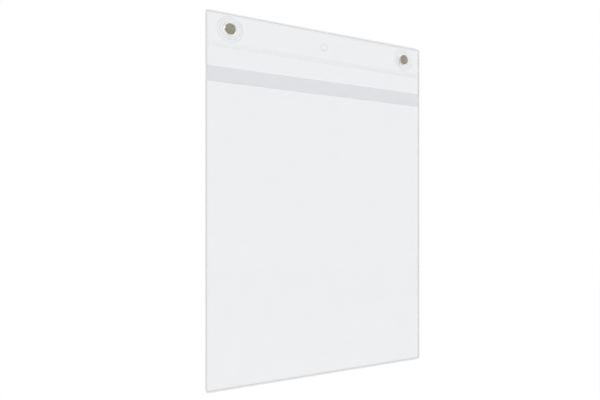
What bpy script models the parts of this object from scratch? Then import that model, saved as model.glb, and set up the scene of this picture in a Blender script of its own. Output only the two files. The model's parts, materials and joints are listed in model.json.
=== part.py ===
"""Clear magnetic document pocket.

Film sheets are welded together along their edges, a rain flap lifts over the mouth, and two round magnets
sit in clear snap housings in the header. Metres, +Z up. The front faces -Y and the wall is behind it.
The origin is at the middle of the pocket's box, at its bottom edge.

The pocket is drawn lying on its back: x runs across it, y up it, and z forward from the wall. An empty then
stands it up.
"""
from math import cos, hypot, pi, radians, sin

import bmesh
import bpy

# Pocket outline
POCKET_WIDTH = 0.230
POCKET_HEIGHT = 0.340
CORNER_RADIUS = 0.0025
EDGE_WELD_WIDTH = 0.0016
EDGE_WELD_ROUND = 0.0004
EDGE_WELD_RISE = 0.0001

# Film and the space that the documents lie in
FILM = 0.0003
DOCUMENT_GAP = 0.0006
CLEARANCE = 0.0003

# Bands under the header: seam, open stretch above the mouth, flap over the front sheet
SEAM_HEIGHT = 0.0054
MOUTH_DROP = 0.0169
FLAP_OVERLAP = 0.0136
FLAP_SIDE_GAP = 0.0003

# Knurl pressed into the seam
KNURL_PITCH = 0.0034
KNURL_GROOVE = 0.0014
KNURL_DEPTH = 0.00012

# Round weld that ties the two header films together, at the middle and a little below the magnets' row
CENTRE_WELD_DROP = 0.0010
CENTRE_WELD_DIAMETER = 0.0064
CENTRE_WELD_WIDTH = 0.0014
CENTRE_WELD_RISE = 0.0003

# Magnets
MAGNET_DIAMETER = 0.0100
MAGNET_HEIGHT = 0.0040
MAGNET_ROUND = 0.0003

# Snap housing and its retaining ring
WEB_THICKNESS = 0.0005
SPIGOT_WALL = 0.0007
COLLAR_WALL = 0.0012
COLLAR_RISE = 0.0006
STEP_LEDGE = 0.00275
STEP_RISE = 0.0005
FLANGE_LEDGE = 0.0025
FLANGE_THICKNESS = 0.0008
FLANGE_TOP_MARGIN = 0.0035
FLANGE_SEAM_MARGIN = 0.0004
FLANGE_SIDE_MARGIN = 0.01025
HOUSING_ROUND = 0.0003
BARB_REACH = 0.0006
BARB_HEIGHT = 0.0004
RING_LIP = 0.0003
RING_ROUND = 0.0003

# Facets
TURN_STEPS = 40
ARC_STEPS = 3
CORNER_STEPS = 6
FOLD_STEPS = 10

# Depths forward from the wall
barb_front = BARB_HEIGHT
ring_step = barb_front + CLEARANCE
ring_front = ring_step + RING_LIP
back_rear = ring_front + CLEARANCE
back_front = back_rear + FILM
header_rear = back_front + CLEARANCE
header_front = header_rear + FILM
flange_rear = header_front + CLEARANCE
flange_front = flange_rear + FLANGE_THICKNESS
step_front = flange_front + STEP_RISE
collar_front = step_front + COLLAR_RISE
magnet_rear = WEB_THICKNESS + CLEARANCE
magnet_front = magnet_rear + MAGNET_HEIGHT
front_rear = back_front + DOCUMENT_GAP
front_front = front_rear + FILM
flap_rear = front_front + CLEARANCE
overall_depth = max(collar_front, magnet_front)

# Radii of the magnet mount
magnet_radius = MAGNET_DIAMETER / 2
bore_radius = magnet_radius + CLEARANCE
spigot_radius = bore_radius + SPIGOT_WALL
collar_radius = bore_radius + COLLAR_WALL
step_radius = collar_radius + STEP_LEDGE
flange_radius = step_radius + FLANGE_LEDGE
barb_radius = spigot_radius + BARB_REACH
film_hole_radius = spigot_radius + CLEARANCE

# Heights up the pocket
top = POCKET_HEIGHT
magnet_y = top - FLANGE_TOP_MARGIN - flange_radius
seam_top = magnet_y - flange_radius - FLANGE_SEAM_MARGIN
seam_bottom = seam_top - SEAM_HEIGHT
hinge_height = seam_bottom - CLEARANCE
mouth = seam_bottom - MOUTH_DROP
flap_bottom = mouth - FLAP_OVERLAP
film_bottom = EDGE_WELD_WIDTH + CLEARANCE
film_top = top - film_bottom

# Places across the pocket
film_half_width = POCKET_WIDTH / 2 - EDGE_WELD_WIDTH - CLEARANCE
magnet_x = POCKET_WIDTH / 2 - FLANGE_SIDE_MARGIN - flange_radius

# The edge weld turns its corners with one centre for both of its sides and for the film inside
weld_inner_radius = max(CORNER_RADIUS - EDGE_WELD_WIDTH, 0)
film_corner_radius = max(weld_inner_radius - CLEARANCE, 0)
weld_leg = CORNER_RADIUS + EDGE_WELD_WIDTH


def clear_scene():
    for item in list(bpy.data.objects):
        bpy.data.objects.remove(item, do_unlink=True)


def add_collection(name):
    collection = bpy.data.collections.new(name)
    bpy.context.scene.collection.children.link(collection)
    return collection


def add_empty(name, parent=None, location=(0, 0, 0), rotation=(0, 0, 0)):
    empty = bpy.data.objects.new(name, None)
    PARTS.objects.link(empty)
    empty.parent = parent
    empty.location = location
    empty.rotation_euler = rotation
    return empty


def add_material(name, colour, roughness, metallic=0.0, alpha=1.0):
    material = bpy.data.materials.new(name)
    material.use_nodes = True
    shader = material.node_tree.nodes["Principled BSDF"]
    shader.inputs["Base Color"].default_value = (*colour, 1)
    shader.inputs["Roughness"].default_value = roughness
    shader.inputs["Metallic"].default_value = metallic
    shader.inputs["Alpha"].default_value = alpha
    return material


def place(item, parent, location, rotation, material, collection=None):
    (collection or PARTS).objects.link(item)
    item.parent = parent
    item.location = location
    item.rotation_euler = rotation
    item.data.materials.append(material)
    return item


def round_corners(corners, steps):
    """Points of a closed outline of (x, y, radius) corners, with an arc wherever there is a radius."""
    points = []
    for index, (x, y, radius) in enumerate(corners):
        if radius == 0:
            points.append((x, y))
            continue
        before = corners[index - 1]
        after = corners[(index + 1) % len(corners)]
        length_in = hypot(before[0] - x, before[1] - y)
        length_out = hypot(after[0] - x, after[1] - y)
        u = ((before[0] - x) / length_in, (before[1] - y) / length_in)
        v = ((after[0] - x) / length_out, (after[1] - y) / length_out)
        # Square corners only, so the arc's centre lies one radius along each side
        radius = min(radius, length_in, length_out)
        centre = (x + (u[0] + v[0]) * radius, y + (u[1] + v[1]) * radius)
        for step in range(steps + 1):
            turn = pi / 2 * step / steps
            points.append((
                centre[0] - radius * (v[0] * cos(turn) + u[0] * sin(turn)),
                centre[1] - radius * (v[1] * cos(turn) + u[1] * sin(turn)),
            ))
    return points


def circle(x, y, radius):
    turns = [2 * pi * step / TURN_STEPS for step in range(TURN_STEPS)]
    return [(x + radius * cos(turn), y + radius * sin(turn)) for turn in turns]


def rectangle(left, right, low, high, radius_low=0.0, radius_high=0.0):
    corners = [
        (left, low, radius_low),
        (right, low, radius_low),
        (right, high, radius_high),
        (left, high, radius_high),
    ]
    return round_corners(corners, CORNER_STEPS)


def as_mesh(drawing, name):
    """The drawing's evaluated shape as one welded mesh, smooth but for its corners."""
    bpy.context.view_layer.update()
    shape = drawing.evaluated_get(bpy.context.evaluated_depsgraph_get())
    mesh = bpy.data.meshes.new_from_object(shape)
    bpy.data.objects.remove(drawing, do_unlink=True)
    mesh.name = name
    body = bmesh.new()
    body.from_mesh(mesh)
    bmesh.ops.remove_doubles(body, verts=body.verts, dist=1e-6)
    bmesh.ops.recalc_face_normals(body, faces=body.faces)
    body.to_mesh(mesh)
    body.free()
    mesh.shade_smooth()
    mesh.set_sharp_from_angle(angle=radians(35))
    return mesh


def add_plate(name, outlines, thickness, parent, location, material, rotation=(0, 0, 0)):
    """A flat plate of the first outline with the others cut out, centred on its own mid-plane."""
    curve = bpy.data.curves.new(name, "CURVE")
    curve.dimensions = "2D"
    curve.fill_mode = "BOTH"
    curve.extrude = thickness / 2
    for outline in outlines:
        spline = curve.splines.new("POLY")
        spline.points.add(len(outline) - 1)
        for point, (x, y) in zip(spline.points, outline):
            point.co = (x, y, 0, 1)
        spline.use_cyclic_u = True
    drawing = bpy.data.objects.new(name + "_outline", curve)
    FORMS.objects.link(drawing)
    plate = bpy.data.objects.new(name, as_mesh(drawing, name))
    return place(plate, parent, location, rotation, material)


def add_turned(name, profile, closed, parent, location, material, collection=None):
    """A turned piece whose (radius, height) profile runs down its outer side."""
    line = bpy.data.meshes.new(name + "_profile")
    vertices = [(radius, 0, height) for radius, height in profile]
    edges = [(index, index + 1) for index in range(len(profile) - 1)]
    if closed:
        edges.append((len(profile) - 1, 0))
    line.from_pydata(vertices, edges, [])
    drawing = bpy.data.objects.new(name + "_profile", line)
    FORMS.objects.link(drawing)
    screw = drawing.modifiers.new("Turn", "SCREW")
    screw.steps = TURN_STEPS
    screw.render_steps = TURN_STEPS
    screw.use_merge_vertices = True
    screw.merge_threshold = 1e-6
    turned = bpy.data.objects.new(name, as_mesh(drawing, name))
    return place(turned, parent, location, (0, 0, 0), material, collection)


def round_edges(item, width):
    bevel = item.modifiers.new("Rounded edges", "BEVEL")
    bevel.width = width
    bevel.segments = 2
    bevel.limit_method = "ANGLE"
    bevel.angle_limit = radians(50)


def add_films(pocket, film):
    half = film_half_width
    corner = film_corner_radius
    holes = [circle(side * magnet_x, magnet_y, film_hole_radius) for side in (-1, 1)]

    back = rectangle(-half, half, film_bottom, film_top, corner, corner)
    add_plate("back_sheet", [back] + holes, FILM, pocket, (0, 0, back_rear + FILM / 2), film)

    front = rectangle(-half, half, film_bottom, mouth, corner, 0)
    add_plate("front_sheet", [front], FILM, pocket, (0, 0, front_rear + FILM / 2), film)

    header = rectangle(-half, half, seam_top + CLEARANCE, film_top, 0, corner)
    middle = (0, 0, header_rear + FILM / 2)
    header_sheet = add_plate("header_sheet", [header] + holes, FILM, pocket, middle, film)
    add_centre_weld(pocket, header_sheet, film)


def add_centre_weld(pocket, header_sheet, film):
    """A half-round ring that stands out of the header film."""
    half = CENTRE_WELD_WIDTH / 2
    radius = CENTRE_WELD_DIAMETER / 2
    count = 2 * ARC_STEPS
    turns = [pi * step / count for step in range(count + 1)]
    arch = [(radius - half * cos(turn), CENTRE_WELD_RISE * sin(turn)) for turn in turns]
    foot = [(radius + half, -FILM / 2), (radius - half, -FILM / 2)]
    location = (0, magnet_y - CENTRE_WELD_DROP, header_front)
    ring = add_turned("centre_weld_form", arch + foot, True, pocket, location, film, FORMS)
    ring.hide_render = True
    ring.display_type = "WIRE"
    union = header_sheet.modifiers.new("Centre weld", "BOOLEAN")
    union.operation = "UNION"
    union.solver = "EXACT"
    union.object = ring


def add_seam(pocket, film):
    """A flat strip with upright grooves pressed into its front."""
    half = film_half_width
    count = round(2 * half / KNURL_PITCH)
    pitch = 2 * half / count
    slope = KNURL_DEPTH
    front = []
    for index in range(count):
        middle = half - pitch * (index + 0.5)
        mouth_half = KNURL_GROOVE / 2
        front.append((middle + mouth_half, FILM))
        front.append((middle + mouth_half - slope, FILM - KNURL_DEPTH))
        front.append((middle - mouth_half + slope, FILM - KNURL_DEPTH))
        front.append((middle - mouth_half, FILM))
    outline = [(-half, 0), (half, 0), (half, FILM)] + front + [(-half, FILM)]
    location = (0, (seam_top + seam_bottom) / 2, header_rear)
    add_plate("seam_weld", [outline], SEAM_HEIGHT, pocket, location, film, (pi / 2, 0, 0))


def add_flap(pocket, film):
    """Film that leaves the seam, eases forward over the mouth and hangs in front of the front sheet."""
    hinge = add_empty("flap_hinge", pocket, (0, hinge_height, header_front))
    forward = flap_rear + FILM - header_front
    fold_length = hinge_height - mouth
    drop = hinge_height - flap_bottom
    face = []
    for step in range(FOLD_STEPS + 1):
        share = step / FOLD_STEPS
        face.append((fold_length * share, forward * (1 - cos(pi * share)) / 2))
    face.append((drop, forward))
    rear = [(down, out - FILM) for down, out in reversed(face)]
    width = 2 * (film_half_width - FLAP_SIDE_GAP)
    add_plate("rain_flap", [rear + face], width, hinge, (0, 0, 0), film, (pi / 2, 0, -pi / 2))


def end_weld_outline(outer, inner, leg):
    """A bar along the top or bottom edge, with legs that turn round the corners."""
    side = POCKET_WIDTH / 2
    inside = side - EDGE_WELD_WIDTH
    corners = [
        (-side, leg, 0),
        (-inside, leg, 0),
        (-inside, inner, weld_inner_radius),
        (inside, inner, weld_inner_radius),
        (inside, leg, 0),
        (side, leg, 0),
        (side, outer, CORNER_RADIUS),
        (-side, outer, CORNER_RADIUS),
    ]
    return round_corners(corners, CORNER_STEPS)


def add_edge_welds(pocket, film):
    depth = front_front - back_rear + 2 * EDGE_WELD_RISE
    middle = (front_front + back_rear) / 2
    side = POCKET_WIDTH / 2
    inside = side - EDGE_WELD_WIDTH
    low = weld_leg + CLEARANCE
    bars = {
        "top_edge_weld": end_weld_outline(top, top - EDGE_WELD_WIDTH, top - weld_leg),
        "bottom_edge_weld": end_weld_outline(0, EDGE_WELD_WIDTH, weld_leg),
        "left_edge_weld": rectangle(-side, -inside, low, top - low),
        "right_edge_weld": rectangle(inside, side, low, top - low),
    }
    for name, outline in bars.items():
        bar = add_plate(name, [outline], depth, pocket, (0, 0, middle), film)
        round_edges(bar, EDGE_WELD_ROUND)


def housing_profile():
    """From the floor of the bore, over the collar, the step and the flange, to the barb at the rear."""
    round_off = HOUSING_ROUND
    corners = [
        (0, WEB_THICKNESS, 0),
        (bore_radius, WEB_THICKNESS, 0),
        (bore_radius, collar_front, 0),
        (collar_radius, collar_front, round_off),
        (collar_radius, step_front, 0),
        (step_radius, step_front, round_off),
        (step_radius, flange_front, 0),
        (flange_radius, flange_front, round_off),
        (flange_radius, flange_rear, 0),
        (spigot_radius, flange_rear, 0),
        (spigot_radius, barb_front, 0),
        (barb_radius, barb_front, 0),
        (spigot_radius, 0, 0),
        (0, 0, 0),
    ]
    return round_corners(corners, ARC_STEPS)


def ring_profile():
    """A flat ring with a lip that lies over the barb."""
    lip_radius = spigot_radius + CLEARANCE
    well_radius = barb_radius + CLEARANCE
    corners = [
        (lip_radius, ring_front, 0),
        (flange_radius, ring_front, 0),
        (flange_radius, 0, RING_ROUND),
        (well_radius, 0, 0),
        (well_radius, ring_step, 0),
        (lip_radius, ring_step, 0),
    ]
    return round_corners(corners, ARC_STEPS)


def magnet_profile():
    corners = [
        (0, magnet_front, 0),
        (magnet_radius, magnet_front, MAGNET_ROUND),
        (magnet_radius, magnet_rear, MAGNET_ROUND),
        (0, magnet_rear, 0),
    ]
    return round_corners(corners, ARC_STEPS)


def add_magnet_mounts(pocket, clear_plastic, nickel):
    for side, name in ((-1, "left"), (1, "right")):
        location = (side * magnet_x, magnet_y, 0)
        add_turned(name + "_magnet_housing", housing_profile(), False, pocket, location, clear_plastic)
        add_turned(name + "_retaining_ring", ring_profile(), True, pocket, location, clear_plastic)
        add_turned(name + "_magnet", magnet_profile(), False, pocket, location, nickel)


clear_scene()
PARTS = add_collection("magnetic_document_pocket")
FORMS = add_collection("joining_forms")
pocket_stand = add_empty("pocket", None, (0, overall_depth / 2, 0), (pi / 2, 0, 0))
film_material = add_material("clear_film", (0.86, 0.87, 0.89), 0.12, alpha=0.35)
plastic_material = add_material("clear_plastic", (0.82, 0.83, 0.85), 0.08, alpha=0.40)
nickel_material = add_material("nickel", (0.28, 0.27, 0.21), 0.35, metallic=1.0)
add_films(pocket_stand, film_material)
add_seam(pocket_stand, film_material)
add_flap(pocket_stand, film_material)
add_edge_welds(pocket_stand, film_material)
add_magnet_mounts(pocket_stand, plastic_material, nickel_material)
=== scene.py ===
"""Looks of the clear magnetic document pocket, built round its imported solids.

Metres, +Z up, the front faces -Y. Depths are counted forward from the wall that the magnets touch.
"""
import json
from math import cos, pi, radians, sin

import bmesh
import bpy
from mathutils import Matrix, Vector


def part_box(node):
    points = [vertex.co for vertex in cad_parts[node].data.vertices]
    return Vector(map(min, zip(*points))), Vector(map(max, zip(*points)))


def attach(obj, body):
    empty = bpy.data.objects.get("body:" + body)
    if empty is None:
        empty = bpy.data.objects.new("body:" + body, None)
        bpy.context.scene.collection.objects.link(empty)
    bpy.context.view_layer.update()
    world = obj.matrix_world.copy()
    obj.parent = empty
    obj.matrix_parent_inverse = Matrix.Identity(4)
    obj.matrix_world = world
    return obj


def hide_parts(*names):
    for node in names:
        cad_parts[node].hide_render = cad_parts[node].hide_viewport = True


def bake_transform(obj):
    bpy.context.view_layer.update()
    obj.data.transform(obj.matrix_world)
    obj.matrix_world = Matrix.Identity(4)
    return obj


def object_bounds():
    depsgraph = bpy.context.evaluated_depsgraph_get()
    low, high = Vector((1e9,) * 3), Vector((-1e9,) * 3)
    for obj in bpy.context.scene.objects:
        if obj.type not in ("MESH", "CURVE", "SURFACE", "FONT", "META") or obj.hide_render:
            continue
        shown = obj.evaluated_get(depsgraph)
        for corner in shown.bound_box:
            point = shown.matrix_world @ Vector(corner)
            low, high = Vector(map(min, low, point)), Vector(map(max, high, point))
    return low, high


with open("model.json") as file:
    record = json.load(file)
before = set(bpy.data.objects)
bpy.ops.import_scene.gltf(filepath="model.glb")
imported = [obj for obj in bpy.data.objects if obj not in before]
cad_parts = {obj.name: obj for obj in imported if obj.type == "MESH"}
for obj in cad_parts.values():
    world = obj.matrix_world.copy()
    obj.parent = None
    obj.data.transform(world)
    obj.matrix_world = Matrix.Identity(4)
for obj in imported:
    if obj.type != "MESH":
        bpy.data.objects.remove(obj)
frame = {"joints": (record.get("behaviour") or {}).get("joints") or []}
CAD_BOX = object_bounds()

MM = 0.001

# Places read from the frame
WALL_Y = CAD_BOX[1].y
HALF_WIDTH = CAD_BOX[1].x
TOP = CAD_BOX[1].z
LEFT_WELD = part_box("left_edge_weld")
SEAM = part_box("seam_weld")
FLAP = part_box("rain_flap")
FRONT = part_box("front_sheet")
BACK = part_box("back_sheet")
HINGE = Vector(frame["joints"][0]["pos_m"])
MOUTH = FRONT[1].z
MAGNETS = {side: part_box(side + "_magnet") for side in ("left", "right")}
MAGNET_RADIUS = (MAGNETS["left"][1].x - MAGNETS["left"][0].x) / 2
MAGNET_ROW = (MAGNETS["left"][0].z + MAGNETS["left"][1].z) / 2
COLLAR_FRONT = WALL_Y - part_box("left_magnet_housing")[0].y

# Film, tucked a little way into the bead round the edge
FILM = FRONT[1].y - FRONT[0].y
BEAD_WIDTH = LEFT_WELD[1].x - LEFT_WELD[0].x
BEAD_Y = (LEFT_WELD[0].y + LEFT_WELD[1].y) / 2
FILM_TUCK = 0.1 * MM
FILM_REACH = HALF_WIDTH - BEAD_WIDTH + FILM_TUCK
FILM_LOW = BEAD_WIDTH - FILM_TUCK
FILM_HIGH = TOP - FILM_LOW
FILM_STEP = 6 * MM
BORDER = 2.2 * MM
# Painted shade along the back film's border, weaker at the left than at the right
LEFT_BORDER_SHADE = 0.6
RIGHT_BORDER_SHADE = 1.0
FLAP_SIDE_GAP = 0.05 * MM
FLAP_REACH = HALF_WIDTH - BEAD_WIDTH - FLAP_SIDE_GAP
FOLD_LENGTH = 4.0 * MM
FOLD_STEP = 0.25 * MM
SHARP_ANGLE = radians(40)
MERGE_DISTANCE = 0.001 * MM

# The front film's unevenness, in radians per metre across and up
FILM_WAVE = 0.05 * MM
WAVE_ACROSS = 31
WAVE_WANDER = 2.1
WAVE_WANDER_UP = 23
WAVE_UP = 44
WAVE_UP_SKEW = 17
WAVE_UP_SHARE = 0.6

# Bead, with a faint ripple in radians per metre along it, and how much painted shade darkens it from place to
# place
BEAD_STEP = 4 * MM
CORNER_RADIUS = 3.5 * MM
BEAD_ROUND = 0.5 * MM
BEAD_RIPPLE = 0.015 * MM
RIPPLE_FAST = 420
RIPPLE_SLOW = 97
BEAD_SHADE = 0.72
HEADER_BEAD_SHADE = 0.9
TOP_BEAD_SHADE = 0.6
RIGHT_BEAD_SHADE = 0.66
LEFT_FLAP_BEAD_SHADE = 0.6
RIGHT_FLAP_BEAD_SHADE = 0.36

# Knurl in the seam, with painted shade on its ridges that grows towards the right, and a line of painted
# shade in its lower half
KNURL_PITCH = 3.4 * MM
KNURL_RISE = 0.06 * MM
KNURL_BORDER = 0.3 * MM
KNURL_COLUMNS = 8
KNURL_ROW = 0.5 * MM
KNURL_SHADE_LEAN = 0.4
KNURL_RIDGE_SHADE = 6
SEAM_SHADE = 0.03
SEAM_FOOT_SHADE = 0.02
SHADE_LINE = 1.85 * MM
SHADE_LINE_HALF = 0.8 * MM
SHADE_LINE_DEPTH = 0.08
SHADE_LINE_RIDGE_DEPTH = 0.07

# Round weld at the middle of the header
CENTRE_WELD_RADIUS = 3.2 * MM
CENTRE_WELD_HALF = 0.7 * MM
CENTRE_WELD_RISE = 0.3 * MM
CENTRE_WELD_DROP = 1.0 * MM
CENTRE_WELD_SEAT = 0.01 * MM

# Magnet mount, counted outward from the magnet's side and forward from the films
CLEARANCE = 0.3 * MM
SPIGOT_WALL = 0.7 * MM
COLLAR_WALL = 1.2 * MM
STEP_LEDGE = 2.75 * MM
STEP_RISE = 0.5 * MM
FLANGE_THICKNESS = 0.8 * MM
WEB_THICKNESS = 0.5 * MM
BARB_REACH = 0.6 * MM
BARB_HEIGHT = 0.4 * MM
RING_LIP = 0.3 * MM
SOFT_EDGE = 0.25 * MM
FILLET = 0.2 * MM
MAGNET_EDGE = 0.5 * MM
MAGNET_GRIP = 0.02 * MM
UPRIGHT = 0.99
HELD_SLACK = 0.01 * MM
TURN_STEPS = 96
ARC_STEPS = 5
BORE_RADIUS = MAGNET_RADIUS + CLEARANCE
SPIGOT_RADIUS = BORE_RADIUS + SPIGOT_WALL
FILM_HOLE_RADIUS = SPIGOT_RADIUS + CLEARANCE

# Photograph's view, placed from the middle of the bead at the pocket's bottom
CAMERA_OFFSET = Vector((-0.1511, -0.3351, 0.1565))
CAMERA_TURN = radians(20.565)
CAMERA_FOCUS_PX = 370.0
HORIZON_PX = 216.3
FRAME_WIDTH_PX = 600
FRAME_HEIGHT_PX = 400
SENSOR = 36.0
CLIP_START = 0.01

# Tints in linear light: what a film or a moulding lets through, and the painted shade and highlight laid over
# some of them
FRONT_TINT = (0.871, 0.872, 0.884)
BACK_TINT = (0.986, 0.994, 1.0)
# Painted shade for the back film's border
BORDER_SHADE_TINT = (0.901, 0.904, 0.917)
# Painted shade for the seam's knurl and its line
SEAM_SHADE_TINT = (0.66, 0.66, 0.665)
RING_TINT = (0.92, 0.92, 0.925)
BEAD_TINT = (0.95, 0.95, 0.955)
# Painted shade at the bead's inner side
BEAD_INNER_SHADE_TINT = (0.48, 0.48, 0.49)
PLASTIC_TINT = (0.986, 0.987, 0.990)
# Painted shade on the moulding's sloped soft edges
PLASTIC_EDGE_SHADE_TINT = (0.70, 0.70, 0.705)
PLASTIC_DEPTH_TINT = (0.5, 0.5, 0.52)
PLASTIC_DENSITY = 6.0
NICKEL_FACE = (0.302, 0.285, 0.223)
# Painted highlight on the magnet's side wall
NICKEL_SIDE_HIGHLIGHT = (0.84, 0.83, 0.80)

# Finishes: bend of light, scale and depth of the clouding, least and most roughness, scale of the bumps
FILM_FINISH = {"bend": 1.45, "cloud": (60, 0.003), "gloss": (0.02, 0.06), "peel": 500}
WELD_FINISH = {"bend": 1.12, "cloud": (700, 0.012), "gloss": (0.02, 0.06), "peel": 900}
PLASTIC_FINISH = {"bend": 1.12, "cloud": (200, 0.003), "gloss": (0.03, 0.08), "peel": 700}
NOISE_RANGE = (0.3, 0.7)
GLOSS_SCALE = 35
PEEL_STRENGTH = 0.1
PEEL_DEPTH = 0.01 * MM
NICKEL_CLOUD = (500, 0.14)
NICKEL_GLOSS = (0.22, 0.36)
NICKEL_GLOSS_SCALE = 900
NICKEL_GRAIN_SCALE = 2600
NICKEL_GRAIN_STRENGTH = 0.25
NICKEL_GRAIN_DEPTH = 0.02 * MM

# Studio
WHITE = (1, 1, 1, 1)
FLOOR_Z = -0.30
FLOOR_SIZE = 40.0
FLOOR_COLOUR = (0.95, 0.95, 0.95, 1)
FLOOR_ROUGHNESS = 0.9
FLOOR_GLOW = 0.95
FLOOR_FADE = (0.8, 3.0)
ROOM_LIGHT = 0.75
LIGHT_BOUNCES = 32
GLOSSY_BOUNCES = 24

# Lamps: place, size and watts
LAMPS = {
    "key": ((-1.3, -0.9, 1.3), 0.8, 14),
    "fill": ((2.0, -0.6, 1.4), 1.6, 10),
    "overhead": ((0, -0.3, 2.2), 1.6, 18),
}


def at(x, depth, z):
    return Vector((x, WALL_Y - depth, z))


def front_depth(box):
    return WALL_Y - box[0].y


def rear_depth(box):
    return WALL_Y - box[1].y


def mid_depth(box):
    return (front_depth(box) + rear_depth(box)) / 2


def new_piece(name, body, material):
    """A piece from a bmesh, which it frees, shaded smooth but for its corners."""
    mesh = bpy.data.meshes.new(name)
    body.to_mesh(mesh)
    body.free()
    mesh.shade_smooth()
    mesh.set_sharp_from_angle(angle=SHARP_ANGLE)
    mesh.materials.append(material)
    piece = bpy.data.objects.new(name, mesh)
    bpy.context.scene.collection.objects.link(piece)
    return piece


def thicken(piece):
    """Give a film its thickness, half to each side, with crisp cut edges."""
    solid = piece.modifiers.new("Film thickness", "SOLIDIFY")
    solid.thickness = FILM
    solid.offset = 0
    depsgraph = bpy.context.evaluated_depsgraph_get()
    solved = piece.evaluated_get(depsgraph)
    mesh = bpy.data.meshes.new_from_object(solved, preserve_all_data_layers=True, depsgraph=depsgraph)
    thin = piece.data
    piece.modifiers.clear()
    piece.data = mesh
    bpy.data.meshes.remove(thin)
    mesh.set_sharp_from_angle(angle=SHARP_ANGLE)


# Film sheets


def spread(start, end, step):
    count = max(1, round(abs(end - start) / step))
    return [start + (end - start) * index / count for index in range(count + 1)]


def grid(body, columns, rows, point, weld=None):
    """A surface over columns and rows, through point(column, row)."""
    layer = body.verts.layers.float.get("weld")
    made = []
    for row in rows:
        line = []
        for column in columns:
            vertex = body.verts.new(point(column, row))
            if weld:
                vertex[layer] = weld(column, row)
            line.append(vertex)
        made.append(line)
    for upper, lower in zip(made, made[1:]):
        for index in range(len(columns) - 1):
            body.faces.new((upper[index], upper[index + 1], lower[index + 1], lower[index]))


def flat_fill(body, loops):
    """A flat surface inside the first loop of points and outside the others."""
    edges = []
    for loop in loops:
        ring = [body.verts.new(point) for point in loop]
        edges += [body.edges.new((a, b)) for a, b in zip(ring, ring[1:] + ring[:1])]
    bmesh.ops.triangle_fill(body, use_beauty=True, edges=edges, normal=(0, -1, 0))


def close_seams(body):
    bmesh.ops.remove_doubles(body, verts=body.verts, dist=MERGE_DISTANCE)
    bmesh.ops.recalc_face_normals(body, faces=body.faces)


def magnet_x(side):
    low, high = MAGNETS[side]
    return (low.x + high.x) / 2


def magnet_holes(depth):
    turns = [2 * pi * step / TURN_STEPS for step in range(TURN_STEPS)]
    radius = FILM_HOLE_RADIUS
    return [
        [at(magnet_x(side) + radius * cos(t), depth, MAGNET_ROW + radius * sin(t)) for t in turns]
        for side in MAGNETS
    ]


def wave(x, z):
    """The film's slight unevenness, fading to nothing at its welded sides."""
    side = max(0.0, 1 - (x / HALF_WIDTH) ** 2)
    across = sin(WAVE_ACROSS * x + WAVE_WANDER * sin(WAVE_WANDER_UP * z))
    up = sin(WAVE_UP * z + WAVE_UP_SKEW * x)
    return FILM_WAVE * side * (across + WAVE_UP_SHARE * up)


def make_front_film(material):
    body = bmesh.new()
    depth = mid_depth(FRONT)
    columns = spread(-FILM_REACH, FILM_REACH, FILM_STEP)
    rows = spread(MOUTH, FILM_LOW, FILM_STEP)
    grid(body, columns, rows, lambda x, z: at(x, depth + wave(x, z), z))
    close_seams(body)
    film = new_piece("front_film", body, material)
    thicken(film)
    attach(film, "pocket")
    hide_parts("front_sheet")


def make_back_film(material):
    """The full-size film behind, with painted shade along its border, most at the right."""
    body = bmesh.new()
    weld = body.verts.layers.float.new("weld")
    depth = mid_depth(BACK)

    def outline(inset):
        side = FILM_REACH - inset
        low = FILM_LOW + inset
        high = FILM_HIGH - inset
        return [at(x, depth, z) for x, z in ((-side, low), (side, low), (side, high), (-side, high))]

    flat_fill(body, [outline(BORDER)] + magnet_holes(depth))
    outer = [body.verts.new(point) for point in outline(0)]
    inner = [body.verts.new(point) for point in outline(BORDER)]
    # The weld layer carries the border's painted shade
    for vertex in outer:
        vertex[weld] = RIGHT_BORDER_SHADE if vertex.co.x > 0 else LEFT_BORDER_SHADE
    for index in range(4):
        follow = (index + 1) % 4
        body.faces.new((outer[index], outer[follow], inner[follow], inner[index]))
    close_seams(body)
    film = new_piece("back_film", body, material)
    thicken(film)
    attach(film, "pocket")
    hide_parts("back_sheet")


def knurl(x):
    """1 on the knurl's ridges and 0 in its grooves."""
    return 0.5 + 0.5 * cos(2 * pi * x / KNURL_PITCH)


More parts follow.
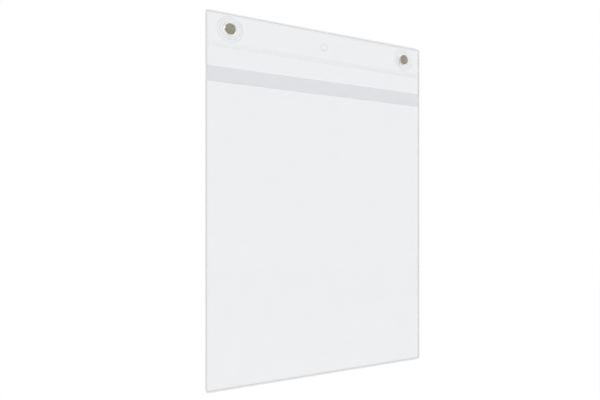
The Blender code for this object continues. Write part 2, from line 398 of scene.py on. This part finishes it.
def make_cover_film(material):
    """One film: the header down to the seam, the knurled seam, and the flap that hangs from it."""
    body = bmesh.new()
    body.verts.layers.float.new("weld")
    header = rear_depth(SEAM) + FILM / 2
    flap = front_depth(FLAP) - FILM / 2
    seam_low = SEAM[0].z
    seam_high = SEAM[1].z + KNURL_BORDER
    count = round(2 * FILM_REACH / KNURL_PITCH) * KNURL_COLUMNS
    seam_columns = [FILM_REACH * (2 * index / count - 1) for index in range(count + 1)]

    seam_edge = [at(x, header, seam_high) for x in seam_columns]
    outline = seam_edge + [at(FILM_REACH, header, FILM_HIGH), at(-FILM_REACH, header, FILM_HIGH)]
    flat_fill(body, [outline] + magnet_holes(header))

    def pressed(z):
        return 1.0 if seam_low < z < seam_high else 0.0

    def seam_point(x, z):
        return at(x, header + KNURL_RISE * pressed(z) * (knurl(x) - 0.5), z)

    # Painted shade over the seam: on the knurl's ridges, more towards the right, with a darker line in its
    # lower half
    def seam_weld(x, z):
        up = z - seam_low
        line = max(0.0, 1 - abs(up - SHADE_LINE) / SHADE_LINE_HALF)
        plain = SEAM_SHADE if up > SHADE_LINE - SHADE_LINE_HALF else SEAM_FOOT_SHADE
        ridge_shade = knurl(x) * (1 + KNURL_SHADE_LEAN * x / HALF_WIDTH)
        even = plain + SHADE_LINE_DEPTH * line
        ridged = KNURL_RIDGE_SHADE * plain + SHADE_LINE_RIDGE_DEPTH * line
        return pressed(z) * (even + ridged * ridge_shade)

    inner_rows = spread(seam_high - KNURL_BORDER, seam_low + KNURL_BORDER, KNURL_ROW)
    grid(body, seam_columns, [seam_high] + inner_rows + [seam_low], seam_point, seam_weld)

    flap_columns = spread(-FLAP_REACH, FLAP_REACH, FILM_STEP)
    lower_edge = [at(x, header, seam_low) for x in seam_columns]
    hinge_edge = [at(x, header, HINGE.z) for x in reversed(flap_columns)]
    flat_fill(body, [lower_edge + hinge_edge])

    fold = spread(HINGE.z, HINGE.z - FOLD_LENGTH, FOLD_STEP)
    ease = spread(HINGE.z - FOLD_LENGTH, MOUTH, 4 * FOLD_STEP)[1:]
    hang = spread(MOUTH, FLAP[0].z, FILM_STEP / 2)[1:]

    def flap_point(x, z):
        share = min(1.0, (HINGE.z - z) / (HINGE.z - MOUTH))
        return at(x, header + (flap - header) * (1 - cos(pi * share)) / 2, z)

    grid(body, flap_columns, fold + ease + hang, flap_point)
    close_seams(body)
    film = new_piece("cover_film", body, material)
    thicken(film)
    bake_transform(film)
    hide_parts("header_sheet", "seam_weld", "rain_flap")


# Edge bead


def bead_path():
    """Points and outward directions along the middle of the bead, once round the pocket."""
    turn_radius = CORNER_RADIUS - BEAD_WIDTH / 2
    side = HALF_WIDTH - CORNER_RADIUS
    high = TOP - CORNER_RADIUS
    centres = ((side, high), (-side, high), (-side, CORNER_RADIUS), (side, CORNER_RADIUS))
    path = []
    for index, (x, z) in enumerate(centres):
        for step in range(2 * ARC_STEPS + 1):
            turn = pi / 2 * (index + step / (2 * ARC_STEPS))
            out = Vector((cos(turn), sin(turn)))
            path.append((Vector((x, z)) + turn_radius * out, out))
        start = path[-1][0]
        end = Vector(centres[(index + 1) % 4]) + turn_radius * out
        count = round((end - start).length / BEAD_STEP)
        path += [(start.lerp(end, step / count), out) for step in range(1, count)]
    return path


def bead_section():
    """Distances outward from the bead's middle, and depths, round its soft-cornered section."""
    half = BEAD_WIDTH / 2 - BEAD_ROUND
    low = rear_depth(LEFT_WELD) + BEAD_ROUND
    high = front_depth(LEFT_WELD) - BEAD_ROUND
    section = []
    for index, (out, depth) in enumerate(((half, high), (-half, high), (-half, low), (half, low))):
        for step in range(ARC_STEPS + 1):
            turn = pi / 2 * (index + step / ARC_STEPS)
            section.append((out + BEAD_ROUND * cos(turn), depth + BEAD_ROUND * sin(turn)))
    return section


def bead_painted_shade(point):
    """How much painted shade darkens the bead: at the right most above the mouth, least beside the flap."""
    if point.y > TOP - BEAD_WIDTH:
        return TOP_BEAD_SHADE
    at_right = point.x > HALF_WIDTH - BEAD_WIDTH
    if FLAP[0].z < point.y < MOUTH:
        return RIGHT_FLAP_BEAD_SHADE if at_right else LEFT_FLAP_BEAD_SHADE
    if at_right:
        return HEADER_BEAD_SHADE if point.y > MOUTH else RIGHT_BEAD_SHADE
    return BEAD_SHADE


def make_edge_bead(material):
    """The welded bead once round the pocket, with painted shade darkest at its inner side, which wanders a
    little.
    """
    body = bmesh.new()
    weld = body.verts.layers.float.new("weld")
    section = bead_section()
    rings = []
    travelled = 0.0
    before = None
    for point, outward in bead_path():
        if before:
            travelled += (point - before).length
        before = point
        ripple = BEAD_RIPPLE * sin(RIPPLE_FAST * travelled) * sin(RIPPLE_SLOW * travelled)
        shade_here = bead_painted_shade(point)
        ring = []
        for out, depth in section:
            spot = point + outward * (out + ripple if out < 0 else out)
            vertex = body.verts.new(at(spot.x, depth, spot.y))
            # Painted shade, darkest at the bead's inner side
            vertex[weld] = shade_here * (0.5 - out / BEAD_WIDTH)
            ring.append(vertex)
        rings.append(ring)
    for ring, after in zip(rings, rings[1:] + rings[:1]):
        for index in range(len(section)):
            follow = (index + 1) % len(section)
            body.faces.new((ring[index], ring[follow], after[follow], after[index]))
    bmesh.ops.recalc_face_normals(body, faces=body.faces)
    bead = new_piece("edge_bead", body, material)
    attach(bead, "pocket")
    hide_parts("top_edge_weld", "bottom_edge_weld", "left_edge_weld", "right_edge_weld")


# Turned pieces


def soften(corners):
    """Profile points of (radius, depth, softening) corners, softened twice as far across as down."""
    points = []
    for index, (radius, depth, soft) in enumerate(corners):
        here = Vector((radius, depth))
        if soft == 0:
            points.append(here)
            continue
        before = (Vector(corners[index - 1][:2]) - here).normalized()
        after = (Vector(corners[(index + 1) % len(corners)][:2]) - here).normalized()
        start = here + before * soft * (1 + abs(before.x))
        end = here + after * soft * (1 + abs(after.x))
        for step in range(ARC_STEPS + 1):
            share = step / ARC_STEPS
            points.append(start.lerp(here, share).lerp(here.lerp(end, share), share))
    return points


def turned(name, x, z, profile, closed, material):
    """A turned piece about the wall's normal at x, z.

    Face attributes mark its walls behind the collar's front, where the magnet gets a painted highlight, and
    its soft sloped edges, where the plastic gets painted shade.
    """
    body = bmesh.new()
    wall = body.faces.layers.float.new("wall")
    edge = body.faces.layers.float.new("edge")
    turns = [2 * pi * step / TURN_STEPS for step in range(TURN_STEPS)]
    rings = []
    for radius, depth in profile:
        if radius == 0:
            rings.append([body.verts.new(at(x, depth, z))] * TURN_STEPS)
        else:
            rings.append([body.verts.new(at(x + radius * cos(t), depth, z + radius * sin(t))) for t in turns])
    pairs = [(index, index + 1) for index in range(len(rings) - 1)]
    if closed:
        pairs.append((len(rings) - 1, 0))
    for first, second in pairs:
        along = (profile[second] - profile[first]).normalized()
        upright = abs(along.y) > UPRIGHT
        held = max(profile[first].y, profile[second].y) < COLLAR_FRONT + HELD_SLACK
        for step in range(TURN_STEPS):
            follow = (step + 1) % TURN_STEPS
            around = (rings[first][step], rings[first][follow], rings[second][follow], rings[second][step])
            face = body.faces.new(list(dict.fromkeys(around)))
            # The wall mark is read only by the magnet's plating, as a painted highlight
            face[wall] = 1.0 if upright and held else 0.0
            # Painted shade on sloped faces, strongest at half a right angle
            face[edge] = 2 * abs(along.x * along.y)
    bmesh.ops.recalc_face_normals(body, faces=body.faces)
    piece = new_piece(name, body, material)
    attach(piece, "pocket")
    return piece


def make_housing(side, material):
    """From the floor of the bore, over the collar, the step and the flange, to the barb at the rear."""
    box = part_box(side + "_magnet_housing")
    flange_radius = (box[1].x - box[0].x) / 2
    grip_radius = MAGNET_RADIUS - MAGNET_GRIP
    collar_radius = BORE_RADIUS + COLLAR_WALL
    step_radius = collar_radius + STEP_LEDGE
    barb_radius = SPIGOT_RADIUS + BARB_REACH
    flange_rear = front_depth(SEAM) + CLEARANCE
    flange_front = flange_rear + FLANGE_THICKNESS
    step_front = flange_front + STEP_RISE
    corners = [
        (0, WEB_THICKNESS, 0),
        (grip_radius, WEB_THICKNESS, 0),
        (grip_radius, COLLAR_FRONT, FILLET),
        (collar_radius, COLLAR_FRONT, SOFT_EDGE),
        (collar_radius, step_front, FILLET),
        (step_radius, step_front, SOFT_EDGE),
        (step_radius, flange_front, FILLET),
        (flange_radius, flange_front, SOFT_EDGE),
        (flange_radius, flange_rear, 0),
        (SPIGOT_RADIUS, flange_rear, 0),
        (SPIGOT_RADIUS, BARB_HEIGHT, 0),
        (barb_radius, BARB_HEIGHT, 0),
        (SPIGOT_RADIUS, 0, 0),
        (0, 0, 0),
    ]
    name = side + "_snap_housing"
    piece = turned(name, magnet_x(side), MAGNET_ROW, soften(corners), False, material)
    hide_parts(side + "_magnet_housing")


def make_snap_ring(side, material):
    """The ring behind the films, whose lip lies over the housing's barb."""
    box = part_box(side + "_retaining_ring")
    outer_radius = (box[1].x - box[0].x) / 2
    lip_radius = SPIGOT_RADIUS + CLEARANCE
    well_radius = SPIGOT_RADIUS + BARB_REACH + CLEARANCE
    step = BARB_HEIGHT + CLEARANCE
    front = step + RING_LIP
    corners = [
        (lip_radius, front, 0),
        (outer_radius, front, 0),
        (outer_radius, 0, SOFT_EDGE),
        (well_radius, 0, 0),
        (well_radius, step, 0),
        (lip_radius, step, 0),
    ]
    name = side + "_snap_ring"
    piece = turned(name, magnet_x(side), MAGNET_ROW, soften(corners), True, material)
    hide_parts(side + "_retaining_ring")


def make_magnet(side, material):
    front = front_depth(MAGNETS[side])
    rear = rear_depth(MAGNETS[side])
    corners = [
        (0, front, 0),
        (MAGNET_RADIUS, front, MAGNET_EDGE),
        (MAGNET_RADIUS, COLLAR_FRONT, 0),
        (MAGNET_RADIUS, rear, MAGNET_EDGE),
        (0, rear, 0),
    ]
    name = side + "_magnet_disc"
    piece = turned(name, magnet_x(side), MAGNET_ROW, soften(corners), False, material)
    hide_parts(side + "_magnet")


def make_centre_weld(material):
    """The round weld in the header: a low ring with a broad crown, seated on the film."""
    foot = front_depth(SEAM) + CENTRE_WELD_SEAT
    crown = front_depth(SEAM) + CENTRE_WELD_RISE
    inner = CENTRE_WELD_RADIUS - CENTRE_WELD_HALF
    outer = CENTRE_WELD_RADIUS + CENTRE_WELD_HALF
    corners = [(inner, foot, 0), (inner, crown, FILLET), (outer, crown, FILLET), (outer, foot, 0)]
    height = MAGNET_ROW - CENTRE_WELD_DROP
    turned("centre_weld", 0, height, soften(corners), True, material)


# Materials


def node_material(name):
    material = bpy.data.materials.new(name)
    material.use_nodes = True
    nodes = material.node_tree.nodes
    return material, nodes, material.node_tree.links, nodes["Principled BSDF"]


def mix_colour(nodes, links, factor, first, second):
    """A mix of two colours, each a colour or an output."""
    mix = nodes.new("ShaderNodeMix")
    mix.data_type = "RGBA"
    links.new(factor, mix.inputs["Factor"])
    for socket, colour in (("A", first), ("B", second)):
        if isinstance(colour, tuple):
            mix.inputs[socket].default_value = (*colour, 1)
        else:
            links.new(colour, mix.inputs[socket])
    return mix.outputs["Result"]


def marked(nodes, name):
    attribute = nodes.new("ShaderNodeAttribute")
    attribute.attribute_name = name
    return attribute.outputs["Fac"]


def ranged_noise(nodes, links, scale, detail, low, high):
    """Noise over the object's own coordinates, spread from low to high."""
    place = nodes.new("ShaderNodeTexCoord")
    noise = nodes.new("ShaderNodeTexNoise")
    noise.inputs["Scale"].default_value = scale
    noise.inputs["Detail"].default_value = detail
    links.new(place.outputs["Object"], noise.inputs["Vector"])
    spread_out = nodes.new("ShaderNodeMapRange")
    spread_out.inputs["From Min"].default_value = NOISE_RANGE[0]
    spread_out.inputs["From Max"].default_value = NOISE_RANGE[1]
    spread_out.inputs["To Min"].default_value = low
    spread_out.inputs["To Max"].default_value = high
    links.new(noise.outputs["Fac"], spread_out.inputs["Value"])
    return spread_out.outputs["Result"]


def clouded(nodes, links, tint, scale, depth):
    """The tint, a little lighter and darker from place to place."""
    darker = tuple(channel * (1 - depth) for channel in tint)
    lighter = tuple(min(1.0, channel * (1 + depth)) for channel in tint)
    return mix_colour(nodes, links, ranged_noise(nodes, links, scale, 2, 0, 1), darker, lighter)


def add_bump(nodes, links, shader, height, strength, distance):
    bump = nodes.new("ShaderNodeBump")
    bump.inputs["Strength"].default_value = strength
    bump.inputs["Distance"].default_value = distance
    links.new(height, bump.inputs["Height"])
    links.new(bump.outputs["Normal"], shader.inputs["Normal"])


def clear_material(name, tint, bend, cloud, gloss, peel, shade_mark=None, painted_shade_tint=None):
    """A see-through material, faintly cloudy and uneven in gloss, and darker with painted shade where an
    attribute marks it.
    """
    material, nodes, links, shader = node_material(name)
    colour = clouded(nodes, links, tint, *cloud)
    if shade_mark:
        colour = mix_colour(nodes, links, marked(nodes, shade_mark), colour, painted_shade_tint)
    links.new(colour, shader.inputs["Base Color"])
    shader.inputs["Transmission Weight"].default_value = 1.0
    shader.inputs["IOR"].default_value = bend
    links.new(ranged_noise(nodes, links, GLOSS_SCALE, 3, *gloss), shader.inputs["Roughness"])
    bumps = ranged_noise(nodes, links, peel, 2, 0, 1)
    add_bump(nodes, links, shader, bumps, PEEL_STRENGTH, PEEL_DEPTH)
    return material


def grey_with_depth(material):
    """Thick plastic lets less light through than thin."""
    nodes = material.node_tree.nodes
    absorb = nodes.new("ShaderNodeVolumeAbsorption")
    absorb.inputs["Color"].default_value = (*PLASTIC_DEPTH_TINT, 1)
    absorb.inputs["Density"].default_value = PLASTIC_DENSITY
    material.node_tree.links.new(absorb.outputs["Volume"], nodes["Material Output"].inputs["Volume"])


def nickel_material():
    """Dull plating: mottled and olive on the face, with a painted highlight on its side wall."""
    material, nodes, links, shader = node_material("dull_nickel")
    face = clouded(nodes, links, NICKEL_FACE, *NICKEL_CLOUD)
    # Painted highlight where the wall attribute marks the side wall
    colour = mix_colour(nodes, links, marked(nodes, "wall"), face, NICKEL_SIDE_HIGHLIGHT)
    links.new(colour, shader.inputs["Base Color"])
    shader.inputs["Metallic"].default_value = 1.0
    dullness = ranged_noise(nodes, links, NICKEL_GLOSS_SCALE, 4, *NICKEL_GLOSS)
    links.new(dullness, shader.inputs["Roughness"])
    grain = ranged_noise(nodes, links, NICKEL_GRAIN_SCALE, 3, 0, 1)
    add_bump(nodes, links, shader, grain, NICKEL_GRAIN_STRENGTH, NICKEL_GRAIN_DEPTH)
    return material


# Studio


def background_share(nodes, links):
    """1 for rays that show the background: straight from the camera, mirrored or seen through."""
    path = nodes.new("ShaderNodeLightPath")
    direct = nodes.new("ShaderNodeMath")
    direct.operation = "MAXIMUM"
    links.new(path.outputs["Is Camera Ray"], direct.inputs[0])
    links.new(path.outputs["Is Glossy Ray"], direct.inputs[1])
    shown = nodes.new("ShaderNodeMath")
    shown.operation = "MAXIMUM"
    links.new(direct.outputs["Value"], shown.inputs[0])
    links.new(path.outputs["Is Transmission Ray"], shown.inputs[1])
    return shown.outputs["Value"]


def make_world():
    world = bpy.data.worlds.new("white_studio")
    bpy.context.scene.world = world
    world.use_nodes = True
    nodes = world.node_tree.nodes
    links = world.node_tree.links
    shown = nodes["Background"]
    shown.inputs["Color"].default_value = WHITE
    shown.inputs["Strength"].default_value = 1.0
    lighting = nodes.new("ShaderNodeBackground")
    lighting.inputs["Color"].default_value = WHITE
    lighting.inputs["Strength"].default_value = ROOM_LIGHT
    choose = nodes.new("ShaderNodeMixShader")
    links.new(background_share(nodes, links), choose.inputs["Fac"])
    links.new(lighting.outputs["Background"], choose.inputs[1])
    links.new(shown.outputs["Background"], choose.inputs[2])
    links.new(choose.outputs["Shader"], nodes["World Output"].inputs["Surface"])


def make_floor():
    """A white floor well below the hanging pocket, which keeps its shadow and fades into the background."""
    body = bmesh.new()
    bmesh.ops.create_grid(body, x_segments=1, y_segments=1, size=FLOOR_SIZE / 2)
    mesh = bpy.data.meshes.new("floor")
    body.to_mesh(mesh)
    body.free()
    floor = bpy.data.objects.new("floor", mesh)
    floor.location.z = FLOOR_Z
    bpy.context.scene.collection.objects.link(floor)
    material, nodes, links, matt = node_material("white_floor")
    matt.inputs["Base Color"].default_value = FLOOR_COLOUR
    matt.inputs["Roughness"].default_value = FLOOR_ROUGHNESS
    glow = nodes.new("ShaderNodeEmission")
    glow.inputs["Color"].default_value = WHITE
    glow.inputs["Strength"].default_value = 1.0
    place = nodes.new("ShaderNodeTexCoord")
    away = nodes.new("ShaderNodeVectorMath")
    away.operation = "LENGTH"
    links.new(place.outputs["Object"], away.inputs[0])
    fade = nodes.new("ShaderNodeMapRange")
    fade.inputs["From Min"].default_value = FLOOR_FADE[0]
    fade.inputs["From Max"].default_value = FLOOR_FADE[1]
    fade.inputs["To Min"].default_value = FLOOR_GLOW
    fade.inputs["To Max"].default_value = 1.0
    links.new(away.outputs["Value"], fade.inputs["Value"])
    share = nodes.new("ShaderNodeMath")
    share.operation = "MULTIPLY"
    links.new(background_share(nodes, links), share.inputs[0])
    links.new(fade.outputs["Result"], share.inputs[1])
    choose = nodes.new("ShaderNodeMixShader")
    links.new(share.outputs["Value"], choose.inputs["Fac"])
    links.new(matt.outputs["BSDF"], choose.inputs[1])
    links.new(glow.outputs["Emission"], choose.inputs[2])
    links.new(choose.outputs["Shader"], nodes["Material Output"].inputs["Surface"])
    mesh.materials.append(material)


def add_lamp(name, place, size, power):
    """A square lamp that faces the middle of the pocket."""
    light = bpy.data.lights.new(name, "AREA")
    light.size = size
    light.energy = power
    lamp = bpy.data.objects.new(name, light)
    lamp.location = place
    aim = Vector((0, 0, TOP / 2)) - Vector(place)
    lamp.rotation_euler = aim.to_track_quat("-Z", "Y").to_euler()
    bpy.context.scene.collection.objects.link(lamp)


def make_camera():
    lens = bpy.data.cameras.new("camera")
    lens.sensor_width = SENSOR
    lens.lens = SENSOR * CAMERA_FOCUS_PX / FRAME_WIDTH_PX
    lens.shift_y = (HORIZON_PX - FRAME_HEIGHT_PX / 2) / FRAME_WIDTH_PX
    lens.clip_start = CLIP_START
    camera = bpy.data.objects.new("camera", lens)
    camera.location = Vector((0, BEAD_Y, 0)) + CAMERA_OFFSET
    camera.rotation_euler = (pi / 2, 0, -CAMERA_TURN)
    bpy.context.scene.collection.objects.link(camera)
    bpy.context.scene.camera = camera


def let_light_through():
    """Enough bounces for the light inside the clear pieces to come out again."""
    cycles = bpy.context.scene.cycles
    cycles.max_bounces = LIGHT_BOUNCES
    cycles.glossy_bounces = GLOSSY_BOUNCES
    cycles.transmission_bounces = LIGHT_BOUNCES


make_camera()
let_light_through()
make_world()
make_floor()
for lamp_name, (lamp_place, lamp_size, lamp_power) in LAMPS.items():
    add_lamp(lamp_name, lamp_place, lamp_size, lamp_power)

# The weld and edge attributes carry painted shade: the seam, the back film's border, the bead's inner side
# and the moulding's soft edges
front_clear = clear_material(
    "front_clear_film", FRONT_TINT, **FILM_FINISH, shade_mark="weld", painted_shade_tint=SEAM_SHADE_TINT
)
back_clear = clear_material(
    "back_clear_film", BACK_TINT, **FILM_FINISH, shade_mark="weld", painted_shade_tint=BORDER_SHADE_TINT
)
bead_clear = clear_material(
    "welded_bead", BEAD_TINT, **WELD_FINISH, shade_mark="weld", painted_shade_tint=BEAD_INNER_SHADE_TINT
)
ring_clear = clear_material("welded_ring", RING_TINT, **WELD_FINISH)
plastic_clear = clear_material(
    "moulded_clear_plastic", PLASTIC_TINT, **PLASTIC_FINISH, shade_mark="edge", painted_shade_tint=PLASTIC_EDGE_SHADE_TINT
)
grey_with_depth(plastic_clear)
nickel = nickel_material()

make_back_film(back_clear)
make_front_film(front_clear)
make_cover_film(front_clear)
make_edge_bead(bead_clear)
make_centre_weld(ring_clear)
for magnet_side in MAGNETS:
    make_housing(magnet_side, plastic_clear)
    make_snap_ring(magnet_side, plastic_clear)
    make_magnet(magnet_side, nickel)

bpy.context.scene.view_settings.view_transform = "Standard"
